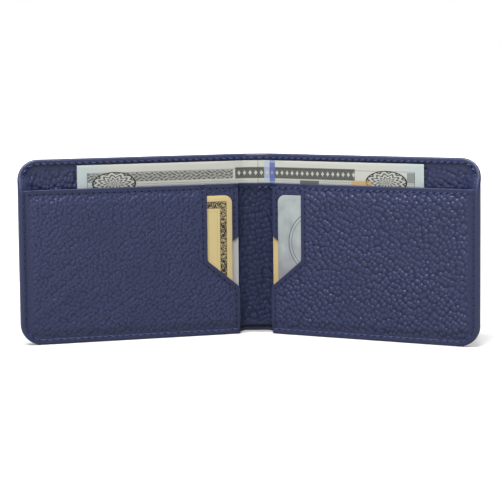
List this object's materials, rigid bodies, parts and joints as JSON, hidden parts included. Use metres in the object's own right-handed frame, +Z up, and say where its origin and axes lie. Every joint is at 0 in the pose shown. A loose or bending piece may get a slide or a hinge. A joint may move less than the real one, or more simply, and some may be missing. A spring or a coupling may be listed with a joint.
{
  "type": "bifold wallet",
  "caption": "Slim two-leaf leather wallet that folds on a narrow spine, with card pockets opening towards the spine and a note compartment behind them.",
  "frame": {"origin": "on the lower edge of the spine, in the middle of its cover leather", "axes": "+X along the spread leaves to the right as seen from inside, +Y out of the outer cover, +Z up"},
  "size_m": [0.1919, 0.0545, 0.077],
  "materials": {
    "cover_leather": "pebbled, semi-matte",
    "panel_leather": "pebbled, semi-matte",
    "lining_leather": "fine pebbled, matte",
    "thread": "twisted polyester thread",
    "board": "plain stiffening board",
    "gold_card": "printed, satin laminate",
    "silver_card": "printed, satin laminate",
    "grey_card": "plain, satin laminate",
    "banknote": "printed cotton paper"
  },
  "bodies": {
    "spine": {"cover_spine": "cover_leather", "lining_spine": "lining_leather", "divider_spine": "panel_leather", "cover_thread_spine": "thread", "divider_thread_spine": "thread"},
    "left_leaf": {"cover_left": "cover_leather", "board_left": "board", "lining_left": "lining_leather", "divider_left": "panel_leather", "rear_pocket_left": "panel_leather", "front_pocket_left": "panel_leather", "edge_thread_left": "thread", "top_thread_left": "thread", "rear_thread_left": "thread", "front_thread_left": "thread"},
    "right_leaf": {"cover_right": "cover_leather", "board_right": "board", "lining_right": "lining_leather", "divider_right": "panel_leather", "rear_pocket_right": "panel_leather", "front_pocket_right": "panel_leather", "edge_thread_right": "thread", "top_thread_right": "thread", "rear_thread_right": "thread", "front_thread_right": "thread"},
    "rear_card_left": {"rear_card_left": "grey_card"},
    "front_card_left": {"front_card_left": "gold_card"},
    "rear_card_right": {"rear_card_right": "gold_card"},
    "front_card_right": {"front_card_right": "silver_card"},
    "note_middle": {"note_middle": "banknote"},
    "note_left": {"note_left": "banknote"},
    "note_right": {"note_right": "banknote"}
  },
  "joints": [
    {"name": "left_fold", "type": "hinge", "parent": "spine", "child": "left_leaf", "pos_m": [-0.0045, -0.0023, 0.0385], "axis": [0, 0, -1], "range_deg": [-72, 18]},
    {"name": "right_fold", "type": "hinge", "parent": "spine", "child": "right_leaf", "pos_m": [0.0045, -0.0023, 0.0385], "axis": [0, 0, 1], "range_deg": [-61, 29]},
    {"name": "rear_card_left_slide", "type": "slide", "parent": "left_leaf", "child": "rear_card_left", "axis": [0.9511, 0.309, 0], "range_m": [0, 0.003]},
    {"name": "front_card_left_slide", "type": "slide", "parent": "left_leaf", "child": "front_card_left", "axis": [0.9511, 0.309, 0], "range_m": [0, 0.009]},
    {"name": "rear_card_right_slide", "type": "slide", "parent": "right_leaf", "child": "rear_card_right", "axis": [-0.8746, 0.4848, 0], "range_m": [0, 0.003]},
    {"name": "front_card_right_slide", "type": "slide", "parent": "right_leaf", "child": "front_card_right", "axis": [-0.8746, 0.4848, 0], "range_m": [0, 0.009]},
    {"name": "note_slide", "type": "slide", "parent": "spine", "child": "note_middle", "axis": [0, 0, 1], "range_m": [0, 0.06]},
    {"name": "note_left_fold", "type": "hinge", "parent": "note_middle", "child": "note_left", "pos_m": [-0.0045, -0.0023, 0.0385], "axis": [0, 0, -1], "range_deg": [-72, 18]},
    {"name": "note_right_fold", "type": "hinge", "parent": "note_middle", "child": "note_right", "pos_m": [0.0045, -0.0023, 0.0385], "axis": [0, 0, 1], "range_deg": [-61, 29]}
  ],
  "couplings": [
    {"joint": "note_left_fold", "follows": "left_fold", "ratio": 1},
    {"joint": "note_right_fold", "follows": "right_fold", "ratio": 1}
  ]
}
